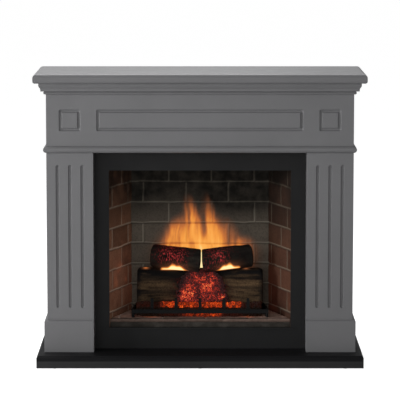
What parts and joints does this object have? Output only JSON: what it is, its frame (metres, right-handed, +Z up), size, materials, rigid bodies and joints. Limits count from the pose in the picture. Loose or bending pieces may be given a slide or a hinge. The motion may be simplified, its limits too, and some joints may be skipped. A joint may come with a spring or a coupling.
{
  "type": "electric fireplace",
  "caption": "Electric fireplace suite: grey moulded mantel with fluted pilasters on a black hearth, black surround, brick-effect firebox with logs, grate and flame screen, fan heater above",
  "frame": {"origin": "on the floor, at the middle of the hearth's outline", "axes": "+X to the right seen from the front, +Y to the back (the wall), +Z up"},
  "size_m": [1.1, 0.42, 0.972],
  "materials": {
    "mantel_paint": "satin grey paint on board",
    "raw_board": "bare board",
    "hearth_black": "satin black paint",
    "surround_black": "matt black",
    "black_steel": "matt black",
    "zinc_steel": "zinc plated",
    "rubber": "matt",
    "brick": "moulded brick effect",
    "screen": "brick effect, lit from behind",
    "grate_black": "matt",
    "char": "glowing ember effect",
    "log": "moulded bark effect",
    "bright_metal": "bright",
    "motor_metal": "satin",
    "circuit": "board with parts",
    "template_black": "matt",
    "alloy": "satin",
    "control_plastic": "satin"
  },
  "bodies": {
    "fireplace": {"base_log": "log", "bead_front": "mantel_paint", "bead_returns": "mantel_paint", "brick_floor": "brick", "brick_sides": "brick", "casing_feet": "rubber", "casing_plates": "black_steel", "casing_sides": "black_steel", "ceiling_panel": "black_steel", "cleats": "raw_board", "control_bezel": "control_plastic", "control_board": "circuit", "cover_screws": "zinc_steel", "crown_front": "mantel_paint", "crown_returns": "mantel_paint", "deck_plate": "black_steel", "ember_bed": "char", "fan_housing": "zinc_steel", "fan_motor": "motor_metal", "fire_grate": "grate_black", "firebox_sill": "black_steel", "fixing_brackets": "black_steel", "flame_screen": "screen", "flame_template": "template_black", "frieze_front": "mantel_paint", "hearth_glides": "rubber", "hearth_rails": "hearth_black", "hearth_top": "hearth_black", "heater_duct": "zinc_steel", "heater_element": "alloy", "lamp_boards": "circuit", "mains_inlet": "control_plastic", "mantel_shelf": "mantel_paint", "outlet_grille": "black_steel", "pilaster_front_left": "mantel_paint", "pilaster_front_right": "mantel_paint", "pilaster_returns": "mantel_paint", "plinth_fronts": "mantel_paint", "plinth_returns": "mantel_paint", "rear_cover": "black_steel", "rod_brackets": "zinc_steel", "side_panel_left": "mantel_paint", "side_panel_right": "mantel_paint", "soffit_board": "raw_board", "spinner_motor": "motor_metal", "surround_apron": "surround_black", "surround_header": "surround_black", "surround_stile_left": "surround_black", "surround_stile_right": "surround_black", "switch_bodies": "control_plastic", "top_log_left": "log", "top_log_right": "log", "wall_rail": "raw_board"},
    "flicker_drive": {"flicker_rod": "bright_metal", "rod_coupling": "rubber"},
    "fan_rotor": {"fan_impeller": "alloy"},
    "power_switch": {"power_rocker": "control_plastic"},
    "heat_switch": {"heat_rocker": "control_plastic"},
    "effect_button": {"flame_button": "control_plastic"},
    "thermostat": {"thermostat_knob": "control_plastic"}
  },
  "joints": [
    {"name": "flicker_spin", "type": "hinge", "parent": "fireplace", "child": "flicker_drive", "pos_m": [0, 0.1775, 0.175], "axis": [1, 0, 0], "continuous": true},
    {"name": "fan_spin", "type": "hinge", "parent": "fireplace", "child": "fan_rotor", "pos_m": [0, 0.0655, 0.699], "axis": [1, 0, 0], "continuous": true},
    {"name": "power_tilt", "type": "hinge", "parent": "fireplace", "child": "power_switch", "pos_m": [0.189, -0.0285, 0.66], "axis": [0, 1, 0], "range_deg": [0, 16]},
    {"name": "heat_tilt", "type": "hinge", "parent": "fireplace", "child": "heat_switch", "pos_m": [0.214, -0.0285, 0.66], "axis": [0, 1, 0], "range_deg": [-8, 8]},
    {"name": "effect_press", "type": "slide", "parent": "fireplace", "child": "effect_button", "axis": [0, 0, 1], "range_m": [0, 0.0015], "stiffness_N_per_m": 200},
    {"name": "thermostat_turn", "type": "hinge", "parent": "fireplace", "child": "thermostat", "pos_m": [0.262, -0.0285, 0.6565], "axis": [0, 0, -1], "range_deg": [0, 270]}
  ]
}
